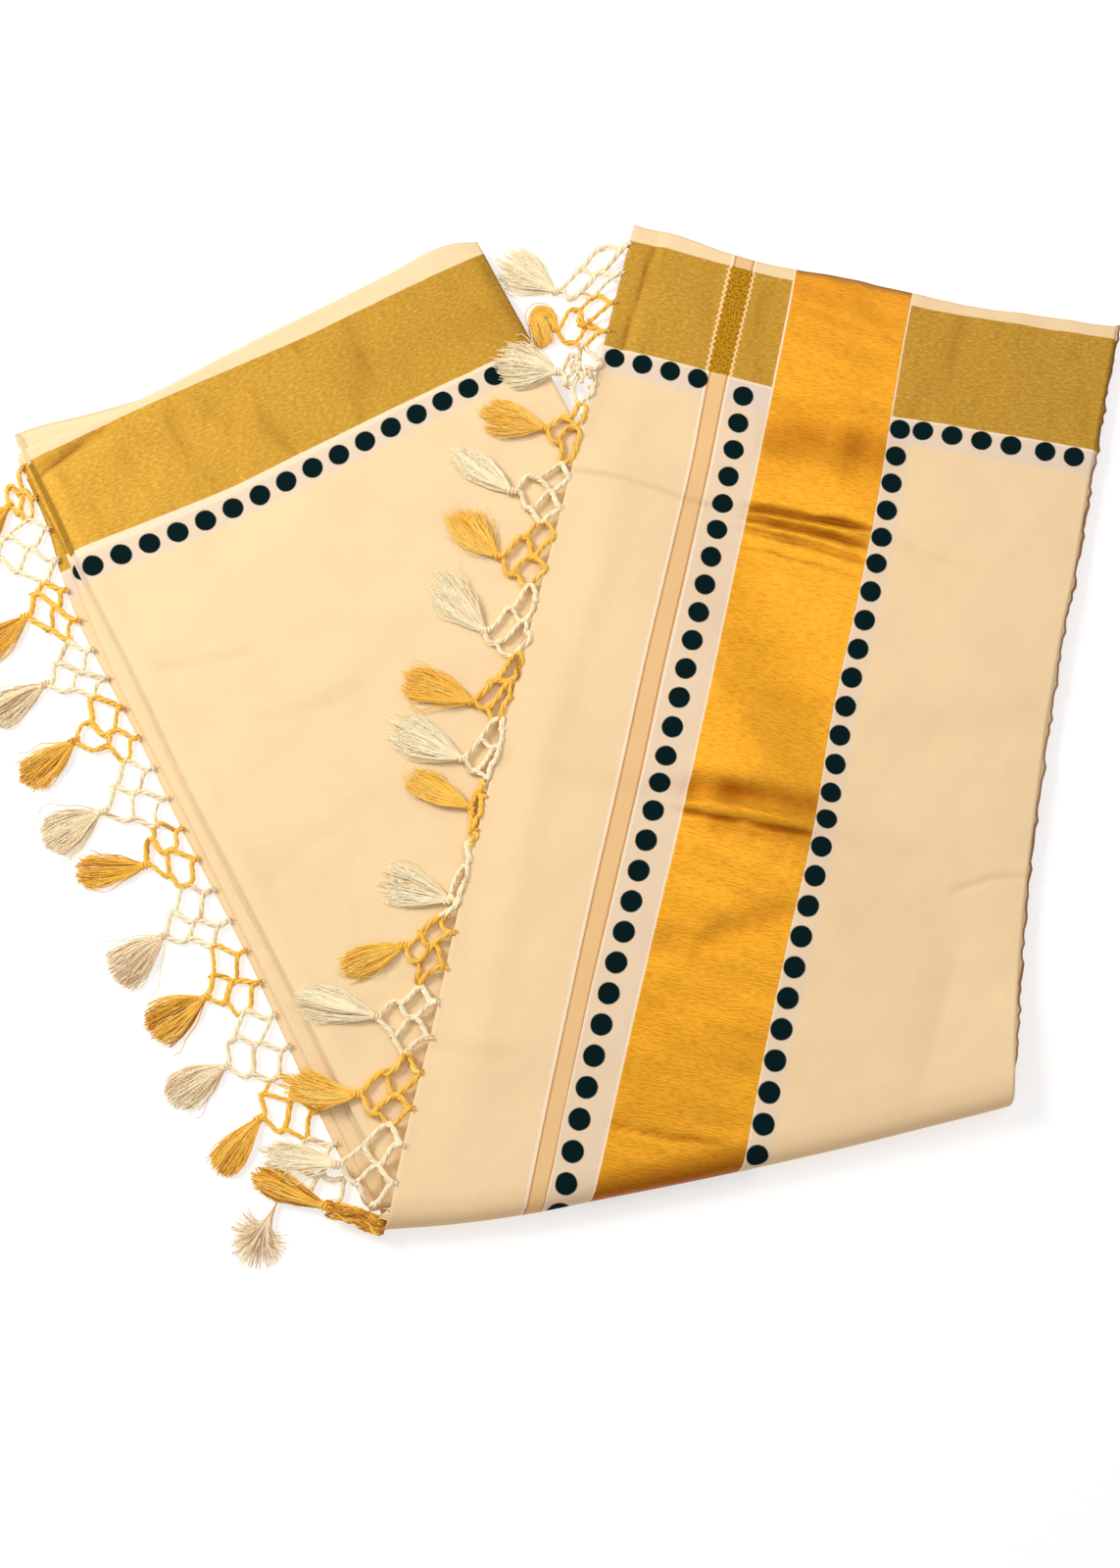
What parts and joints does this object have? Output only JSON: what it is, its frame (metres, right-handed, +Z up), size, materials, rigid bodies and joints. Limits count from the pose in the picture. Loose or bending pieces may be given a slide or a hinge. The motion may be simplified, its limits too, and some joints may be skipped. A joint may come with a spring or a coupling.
{
  "type": "saree",
  "caption": "Folded cotton saree with wide metallic-thread borders, dotted bands and a knotted, tasselled end, folded over once into a V and lying flat.",
  "frame": {"origin": "on the surface it rests on, under the middle of the folded cloth's bounding box", "axes": "+Z up, away from the surface; +Y from the fold towards the two far ends; +X towards the leg that lies on top"},
  "size_m": [0.7455, 0.6468, 0.021],
  "materials": {
    "pallu_cloth": "plain-woven cotton with metallic gold bands",
    "body_cloth": "plain-woven unbleached cotton with a metallic gold border",
    "folded_layers": "edges of stacked plain-woven cotton",
    "gold_thread": "lustrous twisted thread",
    "cream_thread": "matte twisted cotton thread"
  },
  "bodies": {
    "root": {"pallu_over_right_leg": "pallu_cloth", "hidden_layers_right_leg": "folded_layers", "body_panel_left_leg": "body_cloth", "hidden_layers_left_leg": "folded_layers", "second_layer_left_leg": "body_cloth", "pallu_under_left_leg": "body_cloth", "fringe_tassel_01": "gold_thread", "fringe_tassel_02": "cream_thread", "fringe_tassel_03": "gold_thread", "fringe_tassel_04": "cream_thread", "fringe_tassel_05": "gold_thread", "fringe_tassel_06": "cream_thread", "fringe_tassel_07": "gold_thread", "fringe_tassel_08": "cream_thread", "fringe_tassel_09": "gold_thread", "fringe_tassel_10": "cream_thread", "fringe_tassel_11": "gold_thread", "fringe_tassel_12": "cream_thread", "fringe_tassel_13": "gold_thread", "fringe_tassel_14": "cream_thread", "fringe_tassel_15": "gold_thread", "fringe_tassel_16": "cream_thread", "fringe_tassel_17": "gold_thread", "fringe_tassel_18": "cream_thread", "fringe_tassel_19": "gold_thread", "fringe_tassel_20": "cream_thread", "fringe_tassel_21": "gold_thread", "fringe_tassel_22": "cream_thread", "fringe_tassel_23": "gold_thread", "fringe_tassel_24": "cream_thread", "fringe_tassel_25": "gold_thread", "fringe_tassel_26": "cream_thread", "fringe_tassel_27": "gold_thread", "fringe_tassel_28": "cream_thread"}
  },
  "joints": []
}
